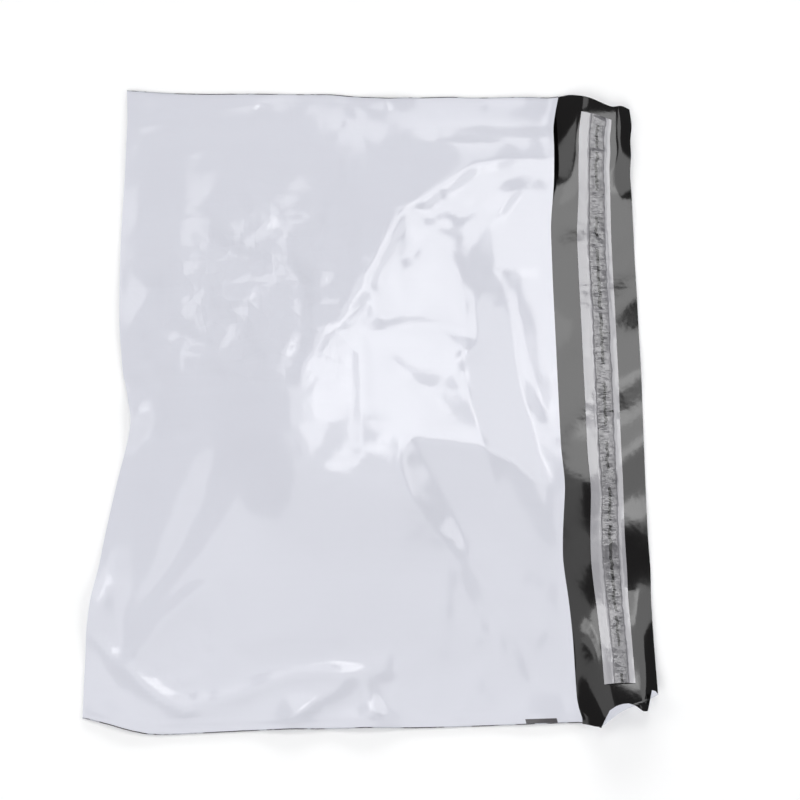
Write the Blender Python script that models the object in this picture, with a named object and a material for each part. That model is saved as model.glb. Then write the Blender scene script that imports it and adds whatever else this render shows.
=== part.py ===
"""A side-loading poly mailer, lying on its back with its mouth towards +X.

One web of film is folded along its left edge, welded to itself along both sides, and
left open on the right, where the back panel runs on as a lip. A band of hot-melt
adhesive lies on the lip under a peel-off release liner. Metres, +Z up, and the origin
is on the table under the middle of the bag.
"""

import bmesh
import bpy
import numpy as np

# Driving dimensions, in metres.
FILM = 0.0001  # one layer of film
WEB_WIDTH = 0.530  # along Y, from one side weld to the other
POCKET_DEPTH = 0.361  # along X, from the fold to the front panel's cut edge
LIP_DEPTH = 0.057  # how far the back panel runs on past the front panel
WELD = 0.0025  # the fused band along each side
FOLD_BAND = 0.0010  # the pressed crease along the fold

PUFF = 0.007  # how high the front panel stands off the back panel everywhere
PUFF_RUN = 0.055  # how far in from a closed edge the puff reaches that height
LOAD = 0.019  # the further rise over the space that the goods fill
LOAD_START = 0.075  # where that rise begins, measured in from the fold
LOAD_RUN = 0.130  # and how far it takes
LOAD_SIDE_RUN = 0.120  # the same, in from each side weld

CURL = 0.009  # how high the lip's two free ends curl up
CURL_RUN = 0.022  # the length of lip that curls

ADHESIVE_WIDTH = 0.0105
ADHESIVE_THICKNESS = 0.0003
LINER_WIDTH = 0.0215
LINER_THICKNESS = 0.0001
LINER_START = 0.0195  # from the front panel's edge to the liner's near edge
ADHESIVE_START = 0.0265  # and to the adhesive's
GAP = 0.0003  # the space kept between pieces that touch

SPAN_STEPS = 36  # cells from weld to weld, between the two fused bands
DEPTH_STEPS = 25  # cells from the fold's crease to the mouth

FOLD_X = -(POCKET_DEPTH + LIP_DEPTH) / 2
MOUTH_X = FOLD_X + POCKET_DEPTH
LIP_X = MOUTH_X + LIP_DEPTH
HALF = WEB_WIDTH / 2
LINER_LINES = [MOUTH_X + LINER_START, MOUTH_X + LINER_START + LINER_WIDTH]
ADHESIVE_LINES = [MOUTH_X + ADHESIVE_START, MOUTH_X + ADHESIVE_START + ADHESIVE_WIDTH]
TAPE_LINES = sorted(LINER_LINES + ADHESIVE_LINES)

# How far each edge strays from its straight line, as (place along the edge, inward shift).
FOLD_STRAY = [(-HALF, 0.0), (-0.193, -0.001), (-0.148, 0.004), (-0.100, 0.010), (-0.052, 0.019),
              (-0.028, 0.022), (0.010, 0.012), (0.050, 0.007), (0.150, 0.003), (HALF, 0.0)]
MOUTH_STRAY = [(-HALF, 0.0), (-0.240, 0.003), (-0.190, 0.004), (-0.136, 0.010), (-0.070, 0.007),
               (0.000, 0.010), (0.110, 0.011), (0.180, 0.007), (0.240, 0.004), (HALF, 0.0)]
NEAR_STRAY = [(FOLD_X, 0.008), (-0.185, 0.001), (-0.155, -0.002), (-0.060, -0.001), (0.040, 0.000),
              (MOUTH_X, 0.002), (LIP_X, 0.006)]
FAR_STRAY = [(FOLD_X, -0.001), (-0.040, 0.000), (0.010, 0.004), (0.060, 0.003), (MOUTH_X, 0.002),
             (LIP_X, 0.008)]


def stray(points, place):
    """The inward shift at a place along an edge, eased from one listed point to the next."""
    places, shifts = zip(*points)
    at = int(np.clip(np.searchsorted(places, place) - 1, 0, len(places) - 2))
    share = np.clip((place - places[at]) / (places[at + 1] - places[at]), 0.0, 1.0)
    return shifts[at] + (shifts[at + 1] - shifts[at]) * share * share * (3 - 2 * share)


def ease(distance, run):
    """0 at no distance, 1 from a full run on, and smooth between."""
    share = min(max(distance / run, 0.0), 1.0)
    return share * share * (3 - 2 * share)


def plan(flat_x, flat_y):
    """Where a point of the flat bag lies on the table, once the filled bag has drawn its edges in."""
    across = flat_y / HALF
    fold = stray(FOLD_STRAY, flat_y)
    mouth = -stray(MOUTH_STRAY, flat_y)
    depth = min(max((flat_x - FOLD_X) / POCKET_DEPTH, 0.0), 1.0)
    past_mouth = ease(flat_x - MOUTH_X, LIP_DEPTH)
    x = flat_x + fold * (1 - depth) ** 2 + mouth * depth ** 2 * (1 - past_mouth)
    near, far = stray(NEAR_STRAY, flat_x), -stray(FAR_STRAY, flat_x)
    y = flat_y + near * max(-across, 0.0) ** 3 + far * max(across, 0.0) ** 3
    return x, y


def table_gap(flat_x, flat_y):
    """How high the back panel's underside is: flat on the table, but for the lip's two ends."""
    past_mouth = ease(flat_x - MOUTH_X, LIP_DEPTH * 0.6)
    from_end = HALF - abs(flat_y)
    return CURL * past_mouth * (1 - ease(from_end, CURL_RUN))


def pocket_height(flat_x, flat_y):
    """The space between the two panels' facing sides."""
    from_fold = flat_x - FOLD_X - FOLD_BAND
    from_side = HALF - WELD - abs(flat_y)
    puff = PUFF * ease(from_fold, PUFF_RUN) * ease(from_side, PUFF_RUN)
    load = LOAD * ease(from_fold - LOAD_START, LOAD_RUN) * ease(from_side, LOAD_SIDE_RUN)
    return puff + load


def new_object(name, bm, material):
    """Closes the mesh, turns its faces outwards and puts it in the scene as one named part."""
    bmesh.ops.remove_doubles(bm, verts=bm.verts, dist=1e-6)
    bmesh.ops.recalc_face_normals(bm, faces=bm.faces)
    mesh = bpy.data.meshes.new(name)
    bm.to_mesh(mesh)
    bm.free()
    mesh.shade_smooth()
    mesh.set_sharp_from_angle(angle=np.radians(40))
    mesh.materials.append(material)
    part = bpy.data.objects.new(name, mesh)
    bpy.context.scene.collection.objects.link(part)
    return part


def add_material(name, colour, roughness):
    material = bpy.data.materials.new(name)
    material.use_nodes = True
    shader = material.node_tree.nodes["Principled BSDF"]
    shader.inputs["Base Color"].default_value = (*colour, 1.0)
    shader.inputs["Roughness"].default_value = roughness
    shader.inputs["Metallic"].default_value = 0.0
    return material


def skin(bm, xs, ys, height):
    """One surface of the film: a grid of points over the flat bag, at the height given for each."""
    points = [[bm.verts.new((*plan(x, y), height(x, y))) for x in xs] for y in ys]
    for near, far in zip(points, points[1:]):
        for a, b, c, d in zip(near, near[1:], far[1:], far):
            bm.faces.new((a, b, c, d))
    return points


def wall(bm, low, high):
    """The film's cut edge: a strip between two rows of points, one above the other."""
    for a, b, c, d in zip(low, low[1:], high[1:], high):
        bm.faces.new((a, b, c, d))


def span_lines():
    """The lines that run along X over the film, from one weld to the other."""
    return list(np.linspace(-HALF + WELD, HALF - WELD, SPAN_STEPS + 1))


def mailer_film(material):
    """The folded and welded film, as four skins: outside and inside of both panels."""
    bm = bmesh.new()
    bare_ys = span_lines()
    all_ys = [-HALF, *bare_ys, HALF]
    bare_xs = list(np.linspace(FOLD_X + FOLD_BAND, MOUTH_X, DEPTH_STEPS + 1))
    pocket_xs = [FOLD_X, *bare_xs]
    lip_xs = [MOUTH_X, MOUTH_X + LINER_START / 2, *TAPE_LINES, LIP_X]

    def back_top(x, y):
        return table_gap(x, y) + FILM

    def front_under(x, y):
        return back_top(x, y) + pocket_height(x, y)

    def front_top(x, y):
        return front_under(x, y) + FILM

    under = skin(bm, pocket_xs + lip_xs[1:], all_ys, table_gap)
    top = skin(bm, pocket_xs, all_ys, front_top)
    skin(bm, bare_xs, bare_ys, back_top)
    ceiling = skin(bm, bare_xs, bare_ys, front_under)
    lip = skin(bm, lip_xs, all_ys, back_top)

    mouth = len(pocket_xs) - 1
    wall(bm, [row[0] for row in under], [row[0] for row in top])
    wall(bm, [row[-1] for row in under], [row[-1] for row in lip])
    wall(bm, [row[-1] for row in ceiling], [row[-1] for row in top[1:-1]])
    for side in (0, -1):
        wall(bm, under[side][:mouth], top[side][:mouth])
        wall(bm, under[side][mouth:], lip[side])
        corner = (under[side][mouth - 1], under[side][mouth], lip[side][0],
                  top[side][mouth], top[side][mouth - 1])
        bm.faces.new(corner)
        inner = 1 if side == 0 else -2
        step = (lip[side][0], lip[inner][0], top[inner][mouth], top[side][mouth])
        bm.faces.new(step)
    return new_object("mailer_film", bm, material)


def tape(name, ends, lift, thickness, material):
    """A band along the lip between two of its lines, at the height over the table given by lift."""
    bm = bmesh.new()
    xs = [x for x in TAPE_LINES if ends[0] <= x <= ends[1]]
    ys = span_lines()
    low = skin(bm, xs, ys, lambda x, y: table_gap(x, y) + lift)
    high = skin(bm, xs, ys, lambda x, y: table_gap(x, y) + lift + thickness)
    wall(bm, low[0], high[0])
    wall(bm, low[-1], high[-1])
    wall(bm, [row[0] for row in low], [row[0] for row in high])
    wall(bm, [row[-1] for row in low], [row[-1] for row in high])
    return new_object(name, bm, material)


def main():
    for old in list(bpy.data.objects):
        bpy.data.objects.remove(old)
    white_film = add_material("white_film", (0.80, 0.81, 0.84), 0.22)
    glue = add_material("hot_melt_adhesive", (0.09, 0.09, 0.09), 0.35)
    liner = add_material("release_liner", (0.30, 0.30, 0.32), 0.12)

    mailer_film(white_film)
    adhesive_lift = FILM + GAP
    liner_lift = adhesive_lift + ADHESIVE_THICKNESS + GAP
    tape("adhesive_strip", ADHESIVE_LINES, adhesive_lift, ADHESIVE_THICKNESS, glue)
    tape("release_liner", LINER_LINES, liner_lift, LINER_THICKNESS, liner)


main()
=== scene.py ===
import math

import bmesh
import bpy
import numpy as np
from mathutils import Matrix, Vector
from mathutils.bvhtree import BVHTree
from mathutils.geometry import delaunay_2d_cdt


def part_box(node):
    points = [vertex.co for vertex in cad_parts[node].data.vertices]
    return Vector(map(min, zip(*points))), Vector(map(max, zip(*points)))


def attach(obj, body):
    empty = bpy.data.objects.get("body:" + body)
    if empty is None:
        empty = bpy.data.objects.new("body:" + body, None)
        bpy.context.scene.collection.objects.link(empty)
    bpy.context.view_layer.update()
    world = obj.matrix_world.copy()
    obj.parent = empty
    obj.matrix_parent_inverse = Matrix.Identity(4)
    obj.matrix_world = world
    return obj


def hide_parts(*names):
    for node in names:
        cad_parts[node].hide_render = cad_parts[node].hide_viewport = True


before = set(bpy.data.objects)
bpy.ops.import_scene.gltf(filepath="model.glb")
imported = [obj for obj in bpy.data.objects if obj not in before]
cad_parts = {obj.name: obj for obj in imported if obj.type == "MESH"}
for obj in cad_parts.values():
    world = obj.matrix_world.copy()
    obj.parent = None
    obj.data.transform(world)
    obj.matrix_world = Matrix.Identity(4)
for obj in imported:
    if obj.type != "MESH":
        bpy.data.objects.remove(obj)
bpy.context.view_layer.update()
filmLow, filmHigh = [np.array(corner, float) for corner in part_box("mailer_film")]
print("frame loaded, film box", filmLow.round(4), filmHigh.round(4))

# the camera looks down on the bag from its near weld
view = {
    "target": (0.0185, -0.0111, 0.0),
    "elevation": 68.0,
    "distance": 1.29,
    "lens": 74.8,
}

# each lamp: centre, width and length, and the brightness of its face. The film mirrors the cards
# and isn't lit by them, the boxes light it and aren't mirrored, and the gloss box does both.
lamps = {
    "glossBox": ((0.19, 0.76, 1.50), (0.60, 0.46), 4.6, "both"),
    "hotCard": ((0.04, 0.66, 1.50), (0.25, 0.27), 0.8, "mirrored"),
    "footCard": ((-0.10, 0.475, 1.50), (0.22, 0.12), 4.2, "mirrored"),
    "leftCard": ((-0.32, 0.73, 1.50), (0.40, 0.54), 2.0, "mirrored"),
    "nearCard": ((-0.14, -0.025, 1.50), (0.92, 0.95), 1.3, "mirrored"),
    "farCard": ((0.10, 2.50, 1.50), (0.54, 2.60), 1.8, "mirrored"),
    "rightCard": ((0.84, 0.60, 1.50), (0.60, 0.90), 2.6, "mirrored"),
    "mainBox": ((-0.80, -2.60, 2.00), (2.2, 1.6), 5.7, "lights"),
    "rightBox": ((2.20, -0.20, 1.40), (1.4, 1.2), 3.9, "lights"),
    "leftBox": ((-2.20, 0.40, 1.40), (1.4, 1.2), 3.4, "lights"),
    "backBox": ((0.10, 4.20, 1.10), (3.6, 0.9), 10.0, "lights"),
}
lampsFace = (0.03, 0.03, 0.0)
surroundings = {"colour": (0.97, 0.98, 1.0), "glow": 0.22}


def aim(thing, at, target):
    thing.location = at
    thing.rotation_euler = (Vector(target) - Vector(at)).to_track_quat("-Z", "Y").to_euler()


def addCamera():
    lens = bpy.data.cameras.new("camera")
    lens.lens = view["lens"]
    lens.sensor_width = 36.0
    camera = bpy.data.objects.new("camera", lens)
    bpy.context.scene.collection.objects.link(camera)
    tilt = math.radians(view["elevation"])
    x, y, z = view["target"]
    away = view["distance"]
    aim(camera, (x, y - away * math.cos(tilt), z + away * math.sin(tilt)), view["target"])
    bpy.context.scene.camera = camera


def addLamps():
    for name, (at, (width, length), glow, use) in lamps.items():
        light = bpy.data.lights.new(name, "AREA")
        light.shape = "RECTANGLE"
        light.size = width
        light.size_y = length
        light.energy = glow * math.pi * width * length
        holder = bpy.data.objects.new(name, light)
        holder.visible_camera = False
        holder.visible_diffuse = use != "mirrored"
        holder.visible_glossy = use != "lights"
        bpy.context.scene.collection.objects.link(holder)
        aim(holder, at, lampsFace)
    world = bpy.data.worlds.new("room")
    bpy.context.scene.world = world
    world.use_nodes = True
    backdrop = world.node_tree.nodes["Background"]
    backdrop.inputs["Color"].default_value = (*surroundings["colour"], 1.0)
    backdrop.inputs["Strength"].default_value = surroundings["glow"]
    bpy.context.scene.view_settings.view_transform = "Standard"


addCamera()
addLamps()
print("camera and lamps placed")


def feed(tree, socket, value):
    if isinstance(value, Link):
        tree.links.new(value.socket, socket)
    elif value is not None:
        socket.default_value = value


# a socket that can be used in sums
class Link:
    def __init__(self, tree, node, output=0):
        self.tree = tree
        self.node = node
        self.socket = node.outputs[output]

    def out(self, output):
        return Link(self.tree, self.node, output)

    def maths(self, operation, *values):
        node = self.tree.nodes.new("ShaderNodeMath")
        node.operation = operation
        for socket, value in zip(node.inputs, values):
            feed(self.tree, socket, value)
        return Link(self.tree, node)

    def __add__(self, other):
        return self.maths("ADD", self, other)

    def __radd__(self, other):
        return self.maths("ADD", other, self)

    def __sub__(self, other):
        return self.maths("SUBTRACT", self, other)

    def __rsub__(self, other):
        return self.maths("SUBTRACT", other, self)

    def __mul__(self, other):
        return self.maths("MULTIPLY", self, other)

    def __rmul__(self, other):
        return self.maths("MULTIPLY", other, self)

    def __gt__(self, other):
        return self.maths("GREATER_THAN", self, other)

    def __lt__(self, other):
        return self.maths("LESS_THAN", self, other)


# a material, with its nodes added one call at a time
class Finish:
    def __init__(self, name):
        self.material = bpy.data.materials.new(name)
        self.material.use_nodes = True
        self.tree = self.material.node_tree
        self.shader = self.tree.nodes["Principled BSDF"]

    def node(self, kind, settings, values, output=0):
        node = self.tree.nodes.new(kind)
        for key, value in settings.items():
            if key == "stops":
                ramp = node.color_ramp
                while len(ramp.elements) < len(value):
                    ramp.elements.new(0.5)
                for stop, (place, shade) in zip(ramp.elements, value):
                    stop.position = place
                    stop.color = (shade, shade, shade, 1.0)
            else:
                setattr(node, key, value)
        for key, value in values.items():
            feed(self.tree, node.inputs[key], value)
        return Link(self.tree, node, output)

    def place(self):
        return self.node("ShaderNodeTexCoord", {}, {}, "Object")

    def web(self):
        return self.node("ShaderNodeUVMap", {"uv_map": "web"}, {})

    def stretched(self, coords, scale):
        return self.node("ShaderNodeMapping", {}, {"Vector": coords, "Scale": scale})

    def noise(self, coords, scale, detail=2.0, rough=0.5):
        values = {"Vector": coords, "Scale": scale, "Detail": detail, "Roughness": rough}
        return self.node("ShaderNodeTexNoise", {}, values)

    def facets(self, coords, scale):
        settings = {"voronoi_dimensions": "2D", "distance": "MANHATTAN"}
        return self.node("ShaderNodeTexVoronoi", settings, {"Vector": coords, "Scale": scale}, "Distance")

    def vector(self, operation, values, output=0):
        return self.node("ShaderNodeVectorMath", {"operation": operation}, values, output)

    def size(self, value):
        return self.node("ShaderNodeMath", {"operation": "ABSOLUTE"}, {0: value})

    def ramp(self, value, stops):
        return self.node("ShaderNodeValToRGB", {"stops": stops}, {0: value})

    def blend(self, share, first, second):
        first = (*first, 1.0) if isinstance(first, tuple) else first
        second = (*second, 1.0) if isinstance(second, tuple) else second
        return self.node("ShaderNodeMix", {"data_type": "RGBA"}, {0: share, 6: first, 7: second}, 2)

    def bump(self, height, distance, strength=1.0):
        values = {"Height": height, "Distance": distance, "Strength": strength}
        return self.node("ShaderNodeBump", {}, values)

    def finish(self, **values):
        for key, value in values.items():
            feed(self.tree, self.shader.inputs[key.replace("_", " ")], value)
        return self.material


# refractive index of polyethylene film
filmIndex = 1.50

whiteFilmLook = {
    "colour": (0.640, 0.648, 0.712),
    "milkier": (0.668, 0.676, 0.738),
    "markColour": (0.085, 0.080, 0.085),
    "markAlong": (0.0184, 0.0412),
    "markAcross": (-0.2646, -0.2613),
    "gloss": 0.06,
    "scuffed": 0.08,
    "swirl": 0.020,
    "crumpledAt": (-0.095, 0.080, 0.010),
    "crumpledReach": 0.115,
    "calmShare": 0.12,
    "bigFacets": 0.00180,
    "smallFacets": 0.00036,
    "ripple": 0.00005,
    "peel": 0.000006,
    "bump": 0.8,
}


def whiteFilm():
    look = whiteFilmLook
    finish = Finish("white_film")
    place = finish.place()
    web = finish.web()
    cloud = finish.noise(place, 14.0, 3.0)
    streak = finish.noise(finish.stretched(web, (3.0, 90.0, 1.0)), 4.0, 2.0)
    colour = finish.blend(cloud * 0.7 + streak * 0.3, look["colour"], look["milkier"])
    along = finish.node("ShaderNodeSeparateXYZ", {}, {0: web})
    across = along.out("Y")
    mark = (along > look["markAlong"][0]) * (along < look["markAlong"][1])
    mark = mark * (across > look["markAcross"][0]) * (across < look["markAcross"][1])
    colour = finish.blend(mark, colour, look["markColour"])
    scuff = finish.noise(place, 60.0, 4.0, 0.6)
    ripple = finish.noise(place, 95.0, 2.0, 0.45)
    peel = finish.noise(place, 420.0, 2.0)
    # shallow facets, strongest where the film is crumpled
    swirl = finish.noise(place, 22.0).out("Color")
    swirl = finish.vector("SCALE", {0: swirl, "Scale": look["swirl"]})
    bent = finish.vector("ADD", {0: place, 1: swirl})
    near = finish.vector("DISTANCE", {0: place, 1: look["crumpledAt"]}, "Value")
    crumpled = finish.node("ShaderNodeMapRange", {"interpolation_type": "SMOOTHSTEP"},
                           {0: near, 1: look["crumpledReach"], 2: 0.03, 3: look["calmShare"], 4: 1.0})
    big = finish.facets(bent, 27.0) * look["bigFacets"]
    small = finish.facets(bent, 80.0) * look["smallFacets"]
    relief = (big + small) * crumpled + ripple * look["ripple"] + peel * look["peel"]
    return finish.finish(Base_Color=colour, Roughness=scuff * look["scuffed"] + look["gloss"],
                         IOR=filmIndex, Normal=finish.bump(relief, 1.0, look["bump"]))


blackFilmLook = {
    "colour": (0.0026, 0.0021, 0.0021),
    "dusty": (0.0055, 0.0048, 0.0048),
    "gloss": 0.05,
    "scuffed": 0.06,
    "ripple": 0.00009,
    "bump": 0.8,
}


def blackFilm():
    look = blackFilmLook
    finish = Finish("black_film")
    place = finish.place()
    cloud = finish.noise(place, 22.0, 4.0, 0.6)
    colour = finish.blend(cloud, look["colour"], look["dusty"])
    scuff = finish.noise(place, 75.0, 4.0, 0.6)
    ripple = finish.noise(place, 85.0, 2.0, 0.45)
    peel = finish.noise(place, 380.0, 2.0)
    bumps = finish.bump(ripple + peel * 0.05, look["ripple"], look["bump"])
    return finish.finish(Base_Color=colour, Roughness=scuff * look["scuffed"] + look["gloss"],
                         IOR=filmIndex, Normal=bumps)


tapes = {
    "linerStart": 0.0195,
    "linerWidth": 0.0215,
    "glueStart": 0.0265,
    "glueWidth": 0.0105,
    "linerFilm": 0.00008,
    "glueThickness": 0.00025,
    "nearEnd": -0.2360,
    "farEnd": 0.2480,
}

# the liner's pale tones, lightest on its smooth margins, are partly its milky colour and partly painted
# reflection of the gloss box
linerLook = {
    "margin": (0.330, 0.325, 0.345),
    "overGlue": (0.105, 0.103, 0.112),
    "milky": (0.190, 0.186, 0.198),
    "gap": (0.006, 0.006, 0.007),
    "gloss": 0.08,
    "index": 1.65,
    "slitReach": 0.0009,
    "slitSway": 0.0045,
    "relief": 0.0007,
}


def clearLiner():
    look = linerLook
    finish = Finish("release_liner")
    web = finish.web()
    parts = finish.node("ShaderNodeSeparateXYZ", {}, {0: web})
    along = parts.out("Y")
    middle = tapes["glueStart"] + tapes["glueWidth"] / 2
    wander = finish.noise(finish.stretched(web, (60.0, 110.0, 1.0)), 1.0, 3.0)
    off = finish.size(parts - middle)
    reach = wander * 0.0022 + (tapes["glueWidth"] / 2 - 0.0013)
    stuck = finish.node("ShaderNodeMapRange", {}, {0: reach - off, 1: -0.0004, 2: 0.0004})
    patch = finish.noise(finish.stretched(web, (160.0, 90.0, 1.0)), 1.0, 2.0)
    milk = finish.blend(finish.ramp(patch, [(0.38, 0.0), (0.60, 1.0)]), look["overGlue"], look["milky"])
    # the margins take the palest tone: partly milky film, partly painted reflection
    colour = finish.blend(stuck, look["margin"], milk)
    # a crooked slit of bare black film, and cross bands where the liner has lifted
    sway = finish.noise(finish.stretched(web, (0.0, 120.0, 1.0)), 1.0, 4.0, 0.6)
    slit = finish.size(parts - middle - (sway - 0.5) * look["slitSway"])
    length = finish.noise(finish.stretched(web, (0.0, 34.0, 1.0)), 1.0, 1.0)
    slit = (slit < look["slitReach"]) * (length > 0.45)
    bands = finish.noise(finish.stretched(web, (30.0, 125.0, 1.0)), 1.0, 2.0, 0.6)
    bands = finish.ramp(bands, [(0.655, 0.0), (0.675, 1.0)]) * stuck
    bare = finish.node("ShaderNodeMath", {"operation": "MAXIMUM"}, {0: slit, 1: bands})
    colour = finish.blend(bare, colour, look["gap"])
    grain = finish.noise(web, 1100.0, 2.0)
    crinkle = finish.noise(finish.stretched(web, (150.0, 260.0, 1.0)), 1.0, 3.0)
    bumps = finish.bump(crinkle * (stuck * 0.9 + 0.1) + grain * 0.04 * stuck, look["relief"], 0.8)
    return finish.finish(Base_Color=colour, Roughness=grain * 0.08 + look["gloss"],
                         IOR=look["index"], Normal=bumps)


hotMeltLook = {"colour": (0.020, 0.019, 0.018), "milky": (0.055, 0.052, 0.048), "gloss": 0.25}


def hotMelt():
    look = hotMeltLook
    finish = Finish("hot_melt_adhesive")
    web = finish.web()
    cloud = finish.noise(web, 160.0, 3.0)
    colour = finish.blend(cloud, look["colour"], look["milky"])
    ribs = finish.noise(finish.stretched(web, (700.0, 20.0, 1.0)), 1.0, 2.0)
    return finish.finish(Base_Color=colour, Roughness=cloud * 0.2 + look["gloss"], IOR=1.48,
                         Normal=finish.bump(ribs, 0.0002, 0.6))


weldLook = {"colour": (0.42, 0.43, 0.47), "bared": (0.030, 0.027, 0.030), "gloss": 0.30}


# the hot knife bares the black core here and there along its cut
def weldEdge():
    look = weldLook
    finish = Finish("weld_edge")
    place = finish.place()
    bare = finish.noise(place, 46.0, 3.0, 0.7)
    colour = finish.blend(finish.ramp(bare, [(0.44, 0.0), (0.52, 1.0)]), look["colour"], look["bared"])
    grain = finish.noise(place, 1200.0, 2.0)
    return finish.finish(Base_Color=colour, Roughness=grain * 0.2 + look["gloss"],
                         Normal=finish.bump(grain, 0.0001, 0.5))


floorLook = {
    "colour": (0.975, 0.975, 0.975),
    "paler": (0.985, 0.985, 0.985),
    "gloss": 0.75,
    "reach": 14.0,
    "cells": 28,
    "gap": 0.0004,
}


def paleFloor():
    look = floorLook
    finish = Finish("pale_floor")
    place = finish.place()
    cloud = finish.noise(place, 2.0, 2.0)
    colour = finish.blend(cloud, look["colour"], look["paler"])
    return finish.finish(Base_Color=colour, Roughness=look["gloss"])


finishes = {
    "white": whiteFilm(),
    "black": blackFilm(),
    "liner": clearLiner(),
    "glue": hotMelt(),
    "weld": weldEdge(),
}
print("materials made")

# the flat bag, and how its filled pocket stands
bag = {
    "webWidth": 0.530,
    "pocketDepth": 0.361,
    "lipDepth": 0.057,
    "film": 0.0001,
    "weld": 0.0025,
    "foldBand": 0.0010,
    "foldFade": 0.006,
    "weldFade": 0.005,
    "leastGap": 0.0003,
    "cell": 0.0032,
    "lipCell": 0.0018,
    "puff": 0.007,
    "puffRun": 0.055,
    "nearPuffRun": 0.120,
}
mm = 0.001
half = bag["webWidth"] / 2
foldX = float(filmLow[0])
mouthX = foldX + bag["pocketDepth"]
lipX = mouthX + bag["lipDepth"]

# how far each edge is drawn in: share of the way along it, and millimetres
drawnIn = {
    "fold": [(0.0, 0.0), (0.05, -0.8), (0.13, -1.6), (0.18, 0.4), (0.22, 4.0), (0.27, 7.0), (0.31, 10.0),
             (0.355, 13.7), (0.40, 18.3), (0.425, 20.6), (0.447, 21.6), (0.47, 18.5), (0.495, 16.0),
             (0.52, 12.1), (0.545, 10.5), (0.59, 7.3), (0.665, 4.8), (0.74, 3.1), (0.85, 2.9),
             (0.95, 1.9), (1.0, -0.4)],
    "mouth": [(0.0, -0.5), (0.02, 4.6), (0.12, 6.3), (0.17, 8.4), (0.23, 12.2), (0.275, 11.3),
              (0.34, 8.5), (0.39, 10.7), (0.48, 11.2), (0.58, 11.7), (0.67, 12.2), (0.75, 12.4),
              (0.82, 8.6), (0.93, 6.6), (0.985, 2.0), (1.0, -0.5)],
    "lip": [(0.0, 3.5), (0.05, 3.5), (0.14, 4.0), (0.18, 4.1), (0.22, 2.8), (0.27, 3.7), (0.5, 1.5),
            (0.83, 0.7), (0.87, 1.3), (0.90, -1.0), (0.93, 0.0), (0.96, -2.9), (1.0, -1.0)],
    "near": [(0.0, 6.9), (0.045, 1.9), (0.08, -2.4), (0.115, -5.3), (0.15, -5.3), (0.22, -3.9),
             (0.29, -2.4), (0.46, -1.0), (0.595, -0.3), (0.70, 1.1), (0.80, 2.6), (0.864, 3.6),
             (0.885, -1.0), (0.905, 0.0), (0.93, 2.0), (1.0, 2.0)],
    "far": [(0.0, -2.5), (0.09, -0.5), (0.165, 0.5), (0.405, 0.5), (0.445, 2.4), (0.485, 4.4),
            (0.525, 6.3), (0.565, 4.4), (0.645, 3.4), (0.685, 4.4), (0.845, 4.4), (0.885, 3.4),
            (0.923, 8.3), (0.952, 15.1), (0.967, 18.4), (0.985, 15.1), (1.0, 18.0)],
}

# how far each edge lifts off the table, the same way
lifted = {
    "near": [(0.0, 0.8), (0.07, 2.6), (0.14, 0.8), (0.29, 0.6), (0.36, 4.2), (0.42, 1.2), (0.49, 4.4),
             (0.56, 0.8), (0.70, 0.4), (0.78, 1.6), (0.864, 0.4)],
    "far": [(0.0, 2.0), (0.08, 0.4), (0.26, 1.4), (0.34, 0.4), (0.46, 0.8), (0.525, 4.4), (0.58, 1.0),
            (0.72, 1.4), (0.80, 2.8), (0.864, 0.8)],
    "fold": [(0.0, 0.6), (0.10, 0.8), (0.16, 6.0), (0.22, 2.0), (0.30, 0.8), (0.40, 1.0),
             (0.447, 5.0), (0.50, 0.8), (0.63, 2.0), (0.75, 0.6), (0.92, 2.2), (1.0, 1.2)],
}
liftRun = 0.030


def ease(distance, run):
    share = np.clip(distance / run, 0.0, 1.0)
    return share * share * (3 - 2 * share)


# a line through the listed points, in metres, with its corners rounded
def wander(points, share, rounding=0.012):
    places, values = zip(*points)
    step = 0.001
    steps = np.linspace(-0.5, 1.5, 2001)
    line = np.interp(steps, places, values)
    reach = int(3 * rounding / step)
    weights = np.exp(-0.5 * (np.arange(-reach, reach + 1) * step / rounding) ** 2)
    line = np.convolve(line, weights / weights.sum(), "same")
    return np.interp(share, steps, line) * mm


# where a point of the flat bag lies on the table
def plan(flatX, flatY):
    across = flatY / half
    alongShare = (flatX - foldX) / (lipX - foldX)
    acrossShare = flatY / (2 * half) + 0.5
    depth = np.clip((flatX - foldX) / bag["pocketDepth"], 0.0, 1.0)
    pastMouth = ease(flatX - mouthX, bag["lipDepth"])
    x = flatX + wander(drawnIn["fold"], acrossShare, 0.008) * (1 - depth) ** 3
    x = x - wander(drawnIn["mouth"], acrossShare) * depth ** 2 * (1 - pastMouth)
    x = x - wander(drawnIn["lip"], acrossShare) * pastMouth
    near = wander(drawnIn["near"], alongShare, 0.008)
    far = wander(drawnIn["far"], alongShare, 0.006)
    y = flatY + near * np.maximum(-across, 0.0) ** 4 - far * np.maximum(across, 0.0) ** 4
    return x, y


# the lip rises from the mouth, lifts towards its ends, and its outer edge bends down past a crease
lip = {
    "riseFrom": 0.010,
    "rise": 0.6,
    "endLift": 0.0085,
    "endLiftRun": 0.125,
    "wave": 0.0005,
    "edgeFrom": 0.0475,
    "edgeSlope": 0.45,
    "edgeRound": 0.0008,
}


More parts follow.
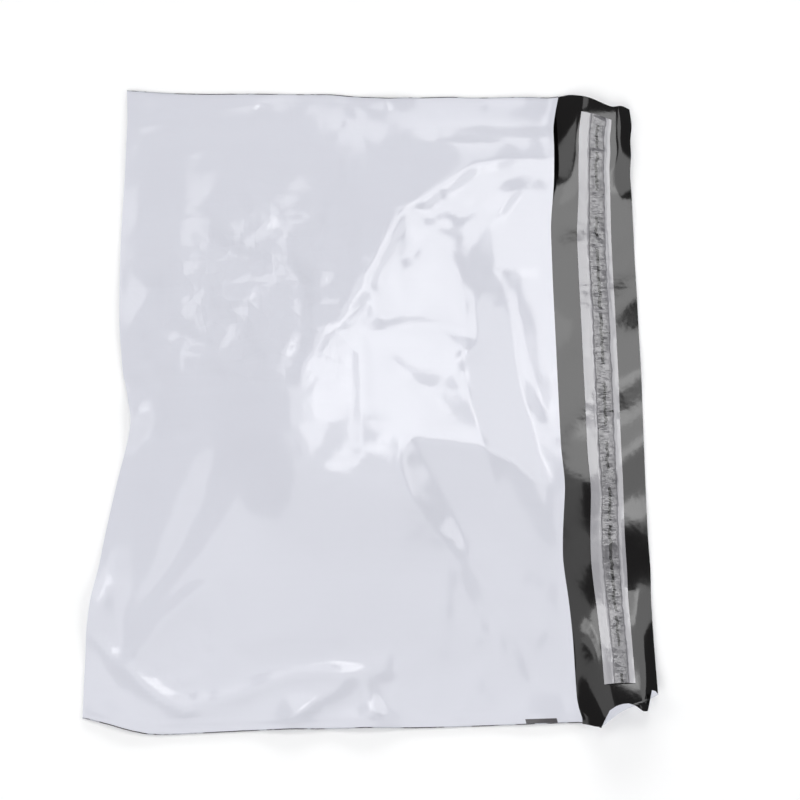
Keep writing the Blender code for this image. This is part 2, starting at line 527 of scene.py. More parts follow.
# the height of the back panel over the table
def backHeight(flatX, flatY):
    alongShare = (flatX - foldX) / (lipX - foldX)
    acrossShare = flatY / (2 * half) + 0.5
    nearFade = 1 - ease(flatY + half, liftRun)
    farFade = 1 - ease(half - flatY, liftRun)
    foldFade = 1 - ease(flatX - foldX, liftRun)
    height = wander(lifted["near"], alongShare) * nearFade
    height = height + wander(lifted["far"], alongShare) * farFade
    height = np.maximum(height, wander(lifted["fold"], acrossShare) * foldFade)
    pastMouth = ease(flatX - mouthX + lip["riseFrom"], bag["lipDepth"] * lip["rise"])
    ends = ease(np.abs(flatY) - (half - lip["endLiftRun"]), lip["endLiftRun"])
    waves = np.sin(flatY * 42 + flatX * 30 + 0.6) + 0.6 * np.sin(flatY * 97 - flatX * 70 + 2.0) + 1.6
    pastCrease = flatX - mouthX - lip["edgeFrom"]
    bend = 0.5 * (pastCrease + np.sqrt(pastCrease ** 2 + lip["edgeRound"] ** 2)) * lip["edgeSlope"]
    raised = lip["endLift"] * ends + lip["wave"] * waves
    return height * (1 - pastMouth) + pastMouth * raised - bend * ends


# the goods that swell the pocket: their outline in shares of the pocket, and how they stand
goods = {
    "outline": [(1.10, 0.87), (0.88, 0.865), (0.79, 0.85), (0.72, 0.815), (0.67, 0.785),
                (0.62, 0.765), (0.595, 0.716), (0.565, 0.672), (0.535, 0.62), (0.50, 0.575),
                (0.455, 0.55), (0.425, 0.47), (0.425, 0.42), (0.455, 0.37), (0.55, 0.335),
                (0.61, 0.335), (0.637, 0.375), (0.66, 0.40), (0.72, 0.398), (0.79, 0.391),
                (0.865, 0.375), (0.953, 0.331), (1.10, 0.30)],
    "height": 0.0175,
    "run": 0.070,
    "spread": 0.150,
    "spreadShare": 0.50,
    "tilt": -0.030,
    "tiltAt": (0.70, 0.5),
    "foldRun": 0.12,
    "weldRun": 0.070,
}


def inPocket(share, across):
    return foldX + share * bag["pocketDepth"], -half + across * 2 * half


# distance to a line of points, how far along it, and on which side
def alongLine(x, y, points):
    nearest = np.full(x.shape, 9.0)
    along = np.zeros(x.shape)
    side = np.zeros(x.shape)
    done = 0.0
    for (ax, ay), (bx, by) in zip(points, points[1:]):
        length = math.dist((ax, ay), (bx, by))
        ux, uy = (bx - ax) / length, (by - ay) / length
        t = np.clip((x - ax) * ux + (y - ay) * uy, 0.0, length)
        distance = np.hypot(x - ax - t * ux, y - ay - t * uy)
        closer = distance < nearest
        nearest = np.where(closer, distance, nearest)
        along = np.where(closer, done + t, along)
        side = np.where(closer, ux * (y - ay) - uy * (x - ax), side)
        done += length
    return nearest, along, side, done


def insideOf(x, y, points):
    inside = np.zeros(x.shape, bool)
    for (ax, ay), (bx, by) in zip(points, points[1:] + points[:1]):
        crosses = (ay > y) != (by > y)
        at = ax + (y - ay) * (bx - ax) / (by - ay if by != ay else 1e-9)
        inside ^= crosses & (x < at)
    return inside


# a step down across the goods: its line in shares of the pocket, its drop and half width, and
# where it fades out
step = {
    "line": [(0.78, 0.85), (0.80, 0.72), (0.825, 0.60), (0.828, 0.52), (0.845, 0.45), (0.875, 0.36),
             (0.90, 0.25), (0.935, -0.10)],
    "drop": 0.0058,
    "halfWidth": 0.0200,
    "fades": [(0.66, 1.0), (0.80, 0.0)],
}


def stepDown(x, y, flatY):
    nearest, _, side, _ = alongLine(x, y, [inPocket(*point) for point in step["line"]])
    across = np.clip(0.5 + 0.5 * np.sign(side) * nearest / step["halfWidth"], 0.0, 1.0)
    places, values = zip(*step["fades"])
    return -step["drop"] * across * np.interp(flatY / (2 * half) + 0.5, places, values)


def pocketHeight(flatX, flatY, x, y):
    fromFold = flatX - foldX - bag["foldBand"]
    fromSide = half - bag["weld"] - np.abs(flatY)
    puff = bag["puff"] * ease(fromFold, bag["puffRun"])
    puff = puff * ease(half - bag["weld"] - flatY, bag["puffRun"])
    puff = puff * ease(half - bag["weld"] + flatY, bag["nearPuffRun"])
    outline = [inPocket(*point) for point in goods["outline"]]
    distance = alongLine(x, y, outline + outline[:1])[0]
    outside = np.where(insideOf(x, y, outline), 0.0, distance)
    load = 1 - ease(outside, goods["run"])
    gentle = 1 - np.clip(outside / goods["spread"], 0.0, 1.0)
    load = load + (gentle - load) * goods["spreadShare"]
    load = load * ease(fromFold, goods["foldRun"]) * ease(fromSide, goods["weldRun"])
    lean = goods["tilt"] * (x - inPocket(*goods["tiltAt"])[0])
    return puff + (goods["height"] + lean + stepDown(x, y, flatY)) * load


# creases of the front panel: points as shares of the pocket (fold to mouth, near weld to far),
# then height in mm, and width in mm on the left and on the right of the line
creases = {
    "rim": ([(0.99, 0.86), (0.877, 0.857), (0.794, 0.846), (0.726, 0.808), (0.674, 0.781),
             (0.63, 0.76), (0.605, 0.716), (0.576, 0.672), (0.544, 0.623), (0.509, 0.573)], 2.4, 7, 15),
    "rimSpur": ([(0.561, 0.65), (0.58, 0.618), (0.582, 0.569)], 1.4, 5, 5),
    "spine": ([(0.53, 0.596), (0.548, 0.559), (0.556, 0.49), (0.555, 0.418), (0.558, 0.343)], 0.8, 4, 4),
    "pocketLeft": ([(0.772, 0.233), (0.712, 0.267), (0.658, 0.323), (0.637, 0.363), (0.641, 0.395),
                    (0.668, 0.404)], 2.4, 8, 5),
    "pocketTop": ([(0.648, 0.401), (0.72, 0.398), (0.79, 0.391), (0.865, 0.375),
                   (0.953, 0.331)], 1.2, 5, 5),
    "slash": ([(0.595, 0.535), (0.658, 0.495), (0.735, 0.446)], -0.6, 3, 4),
    "shelf": ([(0.584, 0.567), (0.659, 0.577), (0.73, 0.577), (0.804, 0.548)], -0.9, 6, 4),
    "notch": ([(0.804, 0.548), (0.765, 0.527), (0.813, 0.482)], 0.9, 3, 3),
    "channelLeft": ([(0.757, 0.672), (0.803, 0.628), (0.801, 0.564), (0.75, 0.501), (0.791, 0.439),
                     (0.817, 0.395)], 0.9, 4, 5),
    "channelRight": ([(0.857, 0.722), (0.866, 0.672), (0.888, 0.596), (0.909, 0.516),
                      (0.932, 0.459), (0.957, 0.408)], 1.2, 6, 6),
    "dentA": ([(0.637, 0.744), (0.666, 0.711), (0.641, 0.675)], -1.1, 5, 4),
    "dentB": ([(0.674, 0.756), (0.733, 0.77), (0.762, 0.756), (0.829, 0.79)], -0.8, 4, 4),
    "dentC": ([(0.843, 0.761), (0.874, 0.796), (0.897, 0.815)], 0.9, 3, 3),
    "foot": ([(0.462, 0.565), (0.46, 0.514), (0.426, 0.469), (0.427, 0.418), (0.457, 0.371),
              (0.548, 0.343), (0.63, 0.343)], -0.4, 5, 5),
    "kinkA": ([(0.509, 0.573), (0.522, 0.608), (0.547, 0.672), (0.553, 0.773)], 1.0, 4, 4),
    "kinkB": ([(0.35, 0.734), (0.388, 0.712), (0.422, 0.695), (0.461, 0.748), (0.49, 0.795)], 1.4, 5, 5),
    "kinkC": ([(0.184, 0.763), (0.212, 0.729), (0.261, 0.706), (0.359, 0.692)], -1.7, 5, 5),
    "kinkD": ([(0.382, 0.687), (0.42, 0.657), (0.425, 0.602), (0.416, 0.538), (0.396, 0.497)], -2.6, 6, 5),
    "kinkE": ([(0.305, 0.591), (0.328, 0.571), (0.359, 0.526), (0.339, 0.485)], 1.6, 4, 5),
    "kinkF": ([(0.27, 0.563), (0.308, 0.591)], -1.4, 4, 4),
    "kinkG": ([(0.137, 0.588), (0.183, 0.564), (0.241, 0.555)], -1.9, 6, 6),
    "kinkH": ([(0.107, 0.592), (0.089, 0.55), (0.071, 0.498)], 1.7, 8, 8),
    "kinkI": ([(0.236, 0.64), (0.28, 0.633), (0.324, 0.641)], 1.2, 4, 4),
    "kinkJ": ([(0.277, 0.831), (0.317, 0.788), (0.357, 0.751)], 1.2, 4, 5),
    "kinkK": ([(0.448, 0.688), (0.464, 0.654), (0.45, 0.6), (0.466, 0.564)], 1.3, 4, 4),
    "kinkL": ([(0.108, 0.675), (0.074, 0.638), (0.043, 0.601)], -1.6, 6, 6),
    "longA": ([(0.25, 0.411), (0.227, 0.32), (0.165, 0.227), (0.075, 0.138)], -3.0, 13, 13),
    "longB": ([(0.330, 0.375), (0.296, 0.334), (0.225, 0.251), (0.141, 0.174), (0.087, 0.119)], 1.2, 9, 12),
    "cornerA": ([(0.0, 0.14), (0.035, 0.116), (0.076, 0.085), (0.109, 0.064), (0.157, 0.041),
                 (0.204, 0.026), (0.26, 0.035)], 3.0, 3, 6),
    "cornerB": ([(0.034, 0.197), (0.05, 0.148), (0.076, 0.085)], -2.8, 4, 9),
    "cornerC": ([(0.08, 0.085), (0.144, 0.141), (0.209, 0.184), (0.248, 0.203)], 2.4, 3, 8),
    "cornerD": ([(0.223, 0.052), (0.243, 0.037)], 1.2, 3, 3),
    "cornerE": ([(0.26, 0.035), (0.269, 0.072), (0.259, 0.146), (0.245, 0.198)], 1.0, 8, 4),
    "arcA": ([(0.274, 0.108), (0.362, 0.122), (0.429, 0.128)], 0.7, 3, 3),
    "arcB": ([(0.20, 0.026), (0.27, 0.037), (0.323, 0.048), (0.376, 0.063), (0.417, 0.071),
              (0.483, 0.075), (0.553, 0.073), (0.63, 0.078)], 3.0, 3, 7),
    "fanA": ([(0.553, 0.073), (0.51, 0.049), (0.457, 0.028), (0.394, 0.001)], 3.4, 3, 12),
    "fanB": ([(0.553, 0.073), (0.567, 0.041), (0.58, 0.004)], 2.6, 7, 3),
    "fanC": ([(0.553, 0.09), (0.63, 0.085)], 1.0, 4, 4),
    "bandL": ([(0.684, 0.226), (0.657, 0.185), (0.64, 0.105), (0.63, 0.001)], 0.7, 9, 5),
    "bandR": ([(0.725, 0.226), (0.721, 0.167), (0.717, 0.105), (0.69, 0.006)], 0.8, 5, 9),
    "bandS": ([(0.765, 0.203), (0.778, 0.149), (0.817, 0.105)], 0.8, 4, 5),
    "smallA": ([(0.77, 0.075), (0.817, 0.077)], 0.6, 2, 2),
    "smallB": ([(0.767, 0.073), (0.797, 0.045), (0.803, 0.019)], 0.8, 4, 4),
    "longC": ([(0.772, 0.233), (0.831, 0.171), (0.884, 0.105), (0.923, 0.041)], -1.5, 12, 12),
    "topA": ([(0.013, 0.935), (0.116, 0.956), (0.245, 0.976), (0.383, 0.99)], 1.6, 5, 7),
    "topB": ([(0.042, 0.919), (0.171, 0.936), (0.339, 0.956)], -1.2, 6, 6),
    "topC": ([(0.807, 0.977), (0.876, 0.968), (0.939, 0.977), (0.985, 0.983)], 1.2, 4, 4),
    "topD": ([(0.66, 0.909), (0.804, 0.902), (0.932, 0.888)], -0.8, 8, 8),
    "pinchA": ([(0.065, 0.446), (0.088, 0.476), (0.114, 0.506)], 1.6, 6, 6),
    "pinchB": ([(0.065, 0.446), (0.121, 0.422), (0.206, 0.422)], -1.6, 7, 6),
}

# the random crumple between the creases: spacing and height in mm
crumple = {
    "coarseSpacing": 34.0,
    "coarseHeight": 1.2,
    "fineSpacing": 13.0,
    "fineHeight": 0.40,
    "calm": 0.40,
    "seed": 7,
}
# where it is stronger: middle and reach in shares of the pocket, and how much
crumpledAreas = [(0.30, 0.66, 0.20, 0.18, 0.42), (0.50, 0.06, 0.14, 0.06, 0.3)]


# creases fade out over this share of their length, down to what is left at their ends
creaseEnds = {"run": 0.22, "left": 0.2}


# a ridge with a rounded top that falls away on both sides
def crest(nearest, width, rounding):
    return np.exp(-(np.sqrt(nearest ** 2 + rounding ** 2) - rounding) / width)


def creaseHeight(x, y, path, height, leftWidth, rightWidth, rounding=0.0018):
    nearest, along, side, total = alongLine(x, y, [inPocket(*point) for point in path])
    leftShare = 0.5 + 0.5 * np.clip(side / np.maximum(nearest, 1e-6), -1.0, 1.0)
    width = mm * (rightWidth + (leftWidth - rightWidth) * leftShare)
    run = total * creaseEnds["run"]
    taper = ease(along, run) * ease(total - along, run) * (1 - creaseEnds["left"]) + creaseEnds["left"]
    return mm * height * crest(nearest, width, rounding) * taper


# film crumples into flat facets, so random points are joined up into triangles
def facets(x, y, spacing, seed):
    random = np.random.default_rng(seed)
    reachX, reachY = 0.26, 0.32
    xs, ys = np.meshgrid(np.arange(-reachX, reachX, spacing), np.arange(-reachY, reachY, spacing))
    xs = (xs + random.uniform(-0.45, 0.45, xs.shape) * spacing).ravel()
    ys = (ys + random.uniform(-0.45, 0.45, ys.shape) * spacing).ravel()
    heights = random.uniform(-1, 1, xs.shape)
    flat = [Vector((float(a), float(b))) for a, b in zip(xs, ys)]
    points, _, triangles, original, _, _ = delaunay_2d_cdt(flat, [], [], 0, 1e-6)
    corners = [(p.x, p.y, heights[o[0]]) for p, o in zip(points, original)]
    tree = BVHTree.FromPolygons(corners, triangles)
    down = Vector((0, 0, -1))
    found = [tree.ray_cast(Vector((a, b, 5.0)), down)[0] for a, b in zip(x.ravel(), y.ravel())]
    return np.array([hit.z if hit else 0.0 for hit in found]).reshape(x.shape)


def soften(field, passes):
    for _ in range(passes):
        padded = np.pad(field, 1, "edge")
        field = (padded[:-2, 1:-1] + padded[2:, 1:-1] + 2 * padded[1:-1, 1:-1]) / 4
        padded = np.pad(field, 1, "edge")
        field = (padded[1:-1, :-2] + padded[1:-1, 2:] + 2 * padded[1:-1, 1:-1]) / 4
    return field


# short fine creases: middle and reach of the patch in shares, how many, main angle and
# its spread in degrees, longest in mm and height in mm
fineCreases = {
    "patches": [
        (0.42, 0.66, 0.10, 0.13, 34, 78, 22, 44, 0.8),
        (0.24, 0.62, 0.13, 0.12, 30, 55, 60, 34, 0.8),
        (0.12, 0.50, 0.08, 0.14, 12, 80, 35, 36, 0.7),
        (0.72, 0.72, 0.12, 0.08, 16, 20, 60, 22, 0.5),
        (0.68, 0.09, 0.16, 0.07, 18, 84, 24, 34, 0.6),
        (0.17, 0.07, 0.10, 0.05, 14, 150, 40, 22, 0.8),
        (0.50, 0.95, 0.40, 0.03, 18, 86, 30, 16, 0.6),
        (0.55, 0.02, 0.38, 0.02, 18, 88, 30, 14, 0.6),
        (0.45, 0.30, 0.25, 0.15, 12, 40, 50, 40, 0.35),
    ],
    "seed": 11,
    "widths": (0.0022, 0.0048),
    "rounding": 0.0008,
}


def fineRelief(x, y):
    random = np.random.default_rng(fineCreases["seed"])
    relief = np.zeros(x.shape)
    for a, b, reachA, reachB, count, angle, spread, longest, height in fineCreases["patches"]:
        for _ in range(count):
            startA = a + reachA * random.normal() * 0.6
            startB = b + reachB * random.normal() * 0.6
            turn = math.radians(angle + spread * random.uniform(-1, 1))
            bend = random.uniform(-0.5, 0.5)
            length = mm * longest * random.uniform(0.35, 1.0)
            line = [inPocket(startA, startB)]
            for part in range(3):
                lastX, lastY = line[-1]
                stride = length / 3
                heading = turn + bend * part
                line.append((lastX + stride * math.cos(heading), lastY + stride * math.sin(heading)))
            nearest, along, _, total = alongLine(x, y, line)
            width = random.uniform(*fineCreases["widths"])
            taper = np.sin(np.clip(along / total, 0.0, 1.0) * math.pi) ** 0.7
            size = mm * height * random.uniform(0.35, 1.0) * random.choice([-1.0, 1.0])
            relief += size * taper * crest(nearest, width, fineCreases["rounding"])
    return relief


def frontRelief(flatX, flatY, x, y):
    relief = np.zeros(x.shape)
    for path, height, left, right in creases.values():
        relief += creaseHeight(x, y, path, height, left, right)
    strength = np.full(x.shape, crumple["calm"])
    for a, b, reachA, reachB, extra in crumpledAreas:
        near = ((flatX - foldX) / bag["pocketDepth"] - a) ** 2 / reachA ** 2
        near = near + (flatY / (2 * half) + 0.5 - b) ** 2 / reachB ** 2
        strength += extra * np.exp(-near)
    coarse = soften(facets(x, y, mm * crumple["coarseSpacing"], crumple["seed"]), 1)
    fine = facets(x, y, mm * crumple["fineSpacing"], crumple["seed"] + 1)
    relief += mm * strength * crumple["coarseHeight"] * coarse
    relief += mm * strength * crumple["fineHeight"] * fine
    return soften(relief, 1) + fineRelief(x, y)


# the near end of the lip is creased and turned over: share across the lip, then the crease's
# distance from the near cut in mm, the length of film past it in mm, and its turn in degrees
lipCurl = {
    "crease": [(0.0, 12.0), (0.10, 5.0), (0.20, 2.0), (0.24, 2.0), (0.67, 13.5), (0.83, 17.5), (1.0, 22.0)],
    "length": [(0.0, 12.0), (0.10, 5.0), (0.20, 2.5), (0.22, 4.0), (0.27, 13.5), (0.38, 12.0), (0.50, 9.0),
               (0.60, 7.5), (0.68, 7.5), (0.80, 10.0), (0.85, 10.5), (0.88, 9.5), (1.0, 4.0)],
    "turn": [(0.0, 0.0), (0.21, 0.0), (0.27, 160.0), (0.38, 162.0), (0.50, 145.0), (0.60, 120.0),
             (0.68, 82.0), (0.79, 24.0), (0.845, 22.0), (0.875, 150.0), (0.94, 140.0), (1.0, 90.0)],
    "strip": 0.012,
    "settled": 0.050,
    "rows": 10,
    "lean": 0.45,
    "roll": 0.45,
    "steps": 24,
}


def lipShare(flatX):
    return np.clip((flatX - mouthX) / bag["lipDepth"], 0.0, 1.0)


# where the rows at the near end of the lip settle on the web, and how far past the crease
def lipRows(flatX, flatY):
    share = lipShare(flatX)
    strip, settled = lipCurl["strip"], lipCurl["settled"]
    crease = mm * np.interp(share, *zip(*lipCurl["crease"]))
    length = mm * np.interp(share, *zip(*lipCurl["length"]))
    fromCut = flatY + half
    behind = crease + (fromCut - strip) / (settled - strip) * (settled - crease)
    behind = np.where(fromCut < strip, crease, np.where(fromCut > settled, fromCut, behind))
    past = np.clip(1 - fromCut / strip, 0.0, 1.0) * length
    onLip = share > 0
    return np.where(onLip, behind, fromCut) - half, np.where(onLip, past, 0.0)


def turnOver(flatX, past, x, y, z):
    share = lipShare(flatX)
    turn = np.radians(np.interp(share, *zip(*lipCurl["turn"])))
    length = mm * np.interp(share, *zip(*lipCurl["length"]))
    outwards = np.zeros(x.shape)
    upwards = np.zeros(x.shape)
    steps = lipCurl["steps"]
    for part in range(steps):
        angle = turn * ease((part + 0.5) / steps * past, length * lipCurl["roll"])
        outwards += np.cos(angle) * past / steps
        upwards += np.sin(angle) * past / steps
    return x + lipCurl["lean"] * np.maximum(-outwards, 0.0), y - outwards, z + upwards


def gridNormals(points):
    alongX = np.gradient(points, axis=1)
    alongY = np.gradient(points, axis=0)
    normals = np.cross(alongX, alongY)
    return normals / np.linalg.norm(normals, axis=2, keepdims=True)


def addSkin(bm, web, points, uvs, slot):
    rows = [[bm.verts.new(point) for point in row] for row in points]
    for j in range(len(rows) - 1):
        for i in range(len(rows[0]) - 1):
            ring = ((j, i), (j, i + 1), (j + 1, i + 1), (j + 1, i))
            face = bm.faces.new([rows[a][b] for a, b in ring])
            face.material_index = slot
            for loop, (a, b) in zip(face.loops, ring):
                loop[web].uv = uvs[a][b]
    return rows


def addWall(bm, low, high, slot=0):
    for a, b, c, d in zip(low, low[1:], high[1:], high):
        bm.faces.new((a, b, c, d)).material_index = slot


def newPiece(name, bm, materials):
    bmesh.ops.remove_doubles(bm, verts=bm.verts, dist=1e-7)
    bmesh.ops.recalc_face_normals(bm, faces=bm.faces)
    mesh = bpy.data.meshes.new(name)
    bm.to_mesh(mesh)
    bm.free()
    for material in materials:
        mesh.materials.append(material)
    mesh.shade_smooth()
    mesh.set_sharp_from_angle(angle=math.radians(60))
    piece = bpy.data.objects.new(name, mesh)
    bpy.context.scene.collection.objects.link(piece)
    return piece


def makeFilm():
    cell, film, weld = bag["cell"], bag["film"], bag["weld"]
    strip = -half + lipCurl["strip"]
    nearYs = np.linspace(-half + weld, strip, lipCurl["rows"])
    restYs = np.linspace(strip, half - weld, round((half - weld - strip) / cell) + 1)
    allYs = np.array([-half, *nearYs, *restYs[1:], half])
    bareXs = np.linspace(foldX + bag["foldBand"], mouthX, round(bag["pocketDepth"] / cell) + 1)
    pocketXs = np.array([foldX, *bareXs])
    lipXs = np.linspace(mouthX, lipX, round(bag["lipDepth"] / bag["lipCell"]) + 1)[1:]
    allXs = np.array([*pocketXs, *lipXs])
    mouth = len(pocketXs) - 1

    # the back panel and the lip
    allX, allY = np.meshgrid(allXs, allYs)
    rowY, past = lipRows(allX, allY)
    x, y = plan(allX, rowY)
    z = backHeight(allX, rowY) + film / 2
    x, y, z = turnOver(allX, past, x, y, z)
    back = np.dstack([x, y, z])
    lift = gridNormals(back) * film / 2
    backUnder, backTop = back - lift, back + lift

    # the front panel, over the same outline
    flatX, flatY = allX[:, :mouth + 1], allY[:, :mouth + 1]
    x, y = plan(flatX, flatY)
    fade = ease(flatX - foldX - bag["foldBand"], bag["foldFade"])
    fade = fade * ease(half - weld - np.abs(flatY), bag["weldFade"])
    gap = pocketHeight(flatX, flatY, x, y) + fade * frontRelief(flatX, flatY, x, y)
    gap = np.maximum(gap, bag["leastGap"] * fade)
    front = np.dstack([x, y, backTop[:, :mouth + 1, 2] + gap + film / 2])
    lift = gridNormals(front) * film / 2
    frontUnder, frontTop = front - lift, front + lift
    frontTop[0, :] = backTop[0, :mouth + 1] + (0, 0, film)
    frontTop[-1, :] = backTop[-1, :mouth + 1] + (0, 0, film)
    frontTop[:, 0] = backTop[:, 0] + (0, 0, film)
    base = backTop[1:-1, 1:mouth + 1].copy()
    ceiling = frontUnder[1:-1, 1:]
    ceiling[0, :] = base[0, :]
    ceiling[-1, :] = base[-1, :]
    ceiling[:, 0] = base[:, 0]

    # where each point lies on the flat web, and the faces
    webBack = np.dstack([bag["pocketDepth"] + allX - foldX, allY])
    webFront = np.dstack([mouthX - flatX, flatY])
    bm = bmesh.new()
    web = bm.loops.layers.uv.new("web")
    under = addSkin(bm, web, backUnder, webBack, 0)
    top = addSkin(bm, web, frontTop, webFront, 0)
    addSkin(bm, web, base, webBack[1:-1, 1:mouth + 1], 1)
    roof = addSkin(bm, web, ceiling, webFront[1:-1, 1:], 1)
    tongue = addSkin(bm, web, backTop[:, mouth:], webBack[:, mouth:], 1)
    addWall(bm, [row[0] for row in under], [row[0] for row in top])
    addWall(bm, [row[-1] for row in under], [row[-1] for row in tongue])
    addWall(bm, [row[-1] for row in roof], [row[-1] for row in top[1:-1]])
    for side, inner in ((0, 1), (-1, -2)):
        addWall(bm, under[side][:mouth], top[side][:mouth])
        addWall(bm, under[side][mouth:], tongue[side])
        bm.faces.new((under[side][mouth - 1], under[side][mouth], tongue[side][0],
                      top[side][mouth], top[side][mouth - 1]))
        bm.faces.new((tongue[side][0], tongue[inner][0], top[inner][mouth], top[side][mouth]))
    piece = newPiece("bag_film", bm, [finishes["white"], finishes["black"]])
    return piece, backTop, allXs, allYs


film, backTop, lineXs, lineYs = makeFilm()
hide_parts("mailer_film")
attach(film, "root")
print("film made,", len(film.data.polygons), "faces")


# points that lie on the lip, or over it
def onLip(flatX, flatY, lift):
    x, y = plan(flatX, flatY)
    return np.dstack([x, y, backHeight(flatX, flatY) + bag["film"] + lift])


def stripGrid(start, width, stepAcross, stepAlong):
    across = np.linspace(mouthX + start, mouthX + start + width, round(width / stepAcross) + 1)
    length = tapes["farEnd"] - tapes["nearEnd"]
    along = np.linspace(tapes["nearEnd"], tapes["farEnd"], round(length / stepAlong) + 1)
    return np.meshgrid(across, along)


def closedStrip(name, low, high, uvs, material):
    bm = bmesh.new()
    web = bm.loops.layers.uv.new("web")
    bottom = addSkin(bm, web, low, uvs, 0)
    top = addSkin(bm, web, high, uvs, 0)
    addWall(bm, bottom[0], top[0])
    addWall(bm, bottom[-1], top[-1])
    addWall(bm, [row[0] for row in bottom], [row[0] for row in top])
    addWall(bm, [row[-1] for row in bottom], [row[-1] for row in top])
    return newPiece(name, bm, [material])


glueShape = {"cells": (0.0011, 0.0030), "gap": 0.00015, "ribs": 0.00008, "ribSpacing": 0.0021}


def makeGlue():
    shape = glueShape
    flatX, flatY = stripGrid(tapes["glueStart"], tapes["glueWidth"], *shape["cells"])
    low = onLip(flatX, flatY, shape["gap"])
    ribs = shape["ribs"] * np.abs(np.sin((flatX - mouthX) * math.pi / shape["ribSpacing"]))
    high = low + np.dstack([ribs * 0, ribs * 0, ribs + tapes["glueThickness"]])
    uvs = np.dstack([flatX - mouthX, flatY])
    return closedStrip("adhesive_band", low, high, uvs, finishes["glue"])


linerShape = {
    "cells": (0.0009, 0.0015),
    "gap": 0.00055,
    "overGlue": 0.00035,
    "glueMargin": 0.0012,
    "crinkle": 0.00060,
    "flatCrinkle": 0.00012,
    "spacing": 0.0052,
    "seed": 21,
}


def makeLiner():
    shape = linerShape
    flatX, flatY = stripGrid(tapes["linerStart"], tapes["linerWidth"], *shape["cells"])
    place = flatX - mouthX
    middle = tapes["glueStart"] + tapes["glueWidth"] / 2
    margin = shape["glueMargin"]
    overGlue = ease(tapes["glueWidth"] / 2 + margin - np.abs(place - middle), 2 * margin)
    squeezed = facets(place * 1.3, flatY, shape["spacing"], shape["seed"])
    finer = facets(place * 1.5, flatY, shape["spacing"] * 0.5, shape["seed"] + 1)
    crinkle = (squeezed + 1.0) * shape["crinkle"] * 0.5 + (finer + 1) * shape["crinkle"] * 0.2
    calm = (squeezed + 1.0) * shape["flatCrinkle"]
    lift = shape["gap"] + overGlue * (shape["overGlue"] + crinkle) + (1 - overGlue) * calm
    low = onLip(flatX, flatY, 0.0) + np.dstack([lift * 0, lift * 0, soften(lift, 1)])
    high = low + (0, 0, tapes["linerFilm"])
    return closedStrip("liner_tape", low, high, np.dstack([place, flatY]), finishes["liner"])


glue = makeGlue()
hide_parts("adhesive_strip")
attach(glue, "root")
liner = makeLiner()
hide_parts("release_liner")
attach(liner, "root")
print("adhesive and liner made")

weldBead = {
    "radius": 0.00032,
    "wobble": 0.00022,
    "wobbleScale": 160.0,
    "spacing": 0.0016,
    "sides": 6,
    "raised": 0.0002,
}


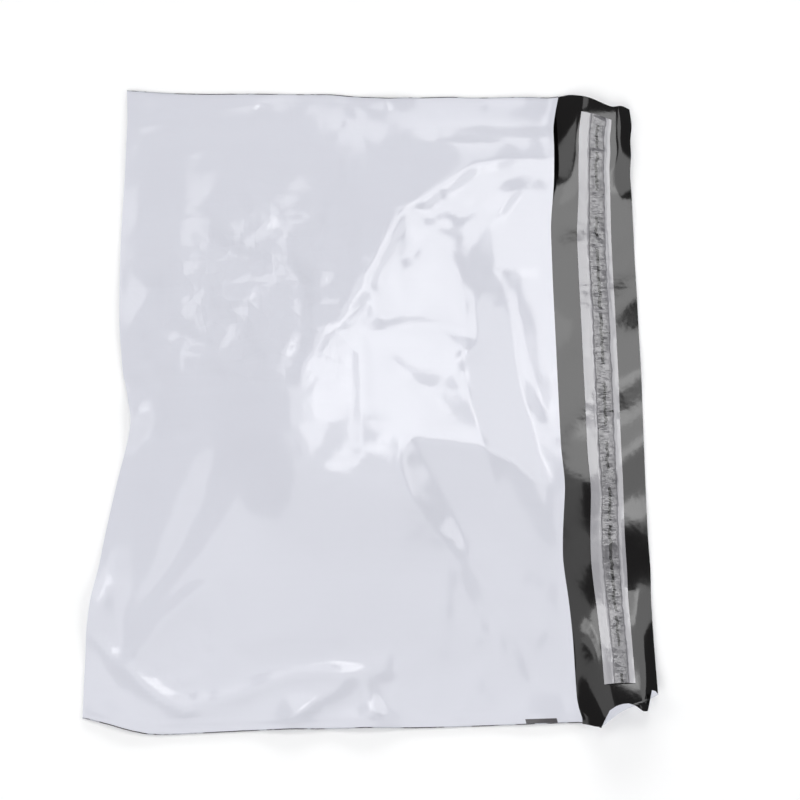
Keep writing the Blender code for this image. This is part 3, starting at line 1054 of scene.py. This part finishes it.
# a bead of melted film swept along a path
def beadTree():
    tree = bpy.data.node_groups.new("beadAlongWeld", "GeometryNodeTree")
    tree.interface.new_socket("Geometry", in_out="INPUT", socket_type="NodeSocketGeometry")
    for name in ("Radius", "Wobble", "Spacing"):
        tree.interface.new_socket(name, in_out="INPUT", socket_type="NodeSocketFloat")
    tree.interface.new_socket("Finish", in_out="INPUT", socket_type="NodeSocketMaterial")
    tree.interface.new_socket("Geometry", in_out="OUTPUT", socket_type="NodeSocketGeometry")
    new, link = tree.nodes.new, tree.links.new
    given, result = new("NodeGroupInput"), new("NodeGroupOutput")
    spaced = new("GeometryNodeResampleCurve")
    spaced.mode = "LENGTH"
    link(given.outputs["Geometry"], spaced.inputs["Curve"])
    link(given.outputs["Spacing"], spaced.inputs["Length"])
    ring = new("GeometryNodeCurvePrimitiveCircle")
    ring.inputs["Resolution"].default_value = weldBead["sides"]
    link(given.outputs["Radius"], ring.inputs["Radius"])
    swept = new("GeometryNodeCurveToMesh")
    swept.inputs["Fill Caps"].default_value = True
    link(spaced.outputs["Curve"], swept.inputs["Curve"])
    link(ring.outputs["Curve"], swept.inputs["Profile Curve"])
    noise = new("ShaderNodeTexNoise")
    noise.inputs["Scale"].default_value = weldBead["wobbleScale"]
    centred = new("ShaderNodeVectorMath")
    centred.operation = "SUBTRACT"
    link(noise.outputs["Color"], centred.inputs[0])
    centred.inputs[1].default_value = (0.5, 0.5, 0.5)
    scaled = new("ShaderNodeVectorMath")
    scaled.operation = "SCALE"
    link(centred.outputs[0], scaled.inputs[0])
    link(given.outputs["Wobble"], scaled.inputs["Scale"])
    moved = new("GeometryNodeSetPosition")
    link(swept.outputs["Mesh"], moved.inputs["Geometry"])
    link(scaled.outputs[0], moved.inputs["Offset"])
    real = new("GeometryNodeRealizeInstances")
    link(moved.outputs["Geometry"], real.inputs["Geometry"])
    painted = new("GeometryNodeSetMaterial")
    link(real.outputs["Geometry"], painted.inputs["Geometry"])
    link(given.outputs["Finish"], painted.inputs["Material"])
    link(painted.outputs["Geometry"], result.inputs["Geometry"])
    return tree


def socketOf(tree, name):
    for item in tree.interface.items_tree:
        if item.in_out == "INPUT" and item.name == name:
            return item.identifier


def makeBead(name, path, tree):
    line = bpy.data.curves.new(name + "_path", "CURVE")
    line.dimensions = "3D"
    spline = line.splines.new("POLY")
    spline.points.add(len(path) - 1)
    for point, place in zip(spline.points, path):
        point.co = (*place, 1.0)
    guide = bpy.data.objects.new(name + "_path", line)
    bpy.context.scene.collection.objects.link(guide)
    modifier = guide.modifiers.new("bead", "NODES")
    modifier.node_group = tree
    for key, value in (("Radius", weldBead["radius"]), ("Wobble", weldBead["wobble"]),
                       ("Spacing", weldBead["spacing"]), ("Finish", finishes["weld"])):
        modifier[socketOf(tree, key)] = value
    graph = bpy.context.evaluated_depsgraph_get()
    mesh = bpy.data.meshes.new_from_object(guide.evaluated_get(graph), depsgraph=graph)
    bpy.data.objects.remove(guide)
    bm = bmesh.new()
    bm.from_mesh(mesh)
    bpy.data.meshes.remove(mesh)
    return newPiece(name, bm, [finishes["weld"]])


tree = beadTree()
mouthColumn = int(np.argmin(np.abs(lineXs - mouthX)))
for name, row in (("weld_bead_near", 0), ("weld_bead_far", -1)):
    bead = makeBead(name, backTop[row, :mouthColumn + 1] + (0, 0, weldBead["raised"]), tree)
    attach(bead, "root")
print("weld beads made")


def makeFloor():
    bm = bmesh.new()
    cells = floorLook["cells"]
    bmesh.ops.create_grid(bm, x_segments=cells, y_segments=cells, size=floorLook["reach"])
    for vert in bm.verts:
        vert.co.z = float(filmLow[2]) - floorLook["gap"]
    floor = newPiece("floor", bm, [paleFloor()])


makeFloor()
print("floor made")
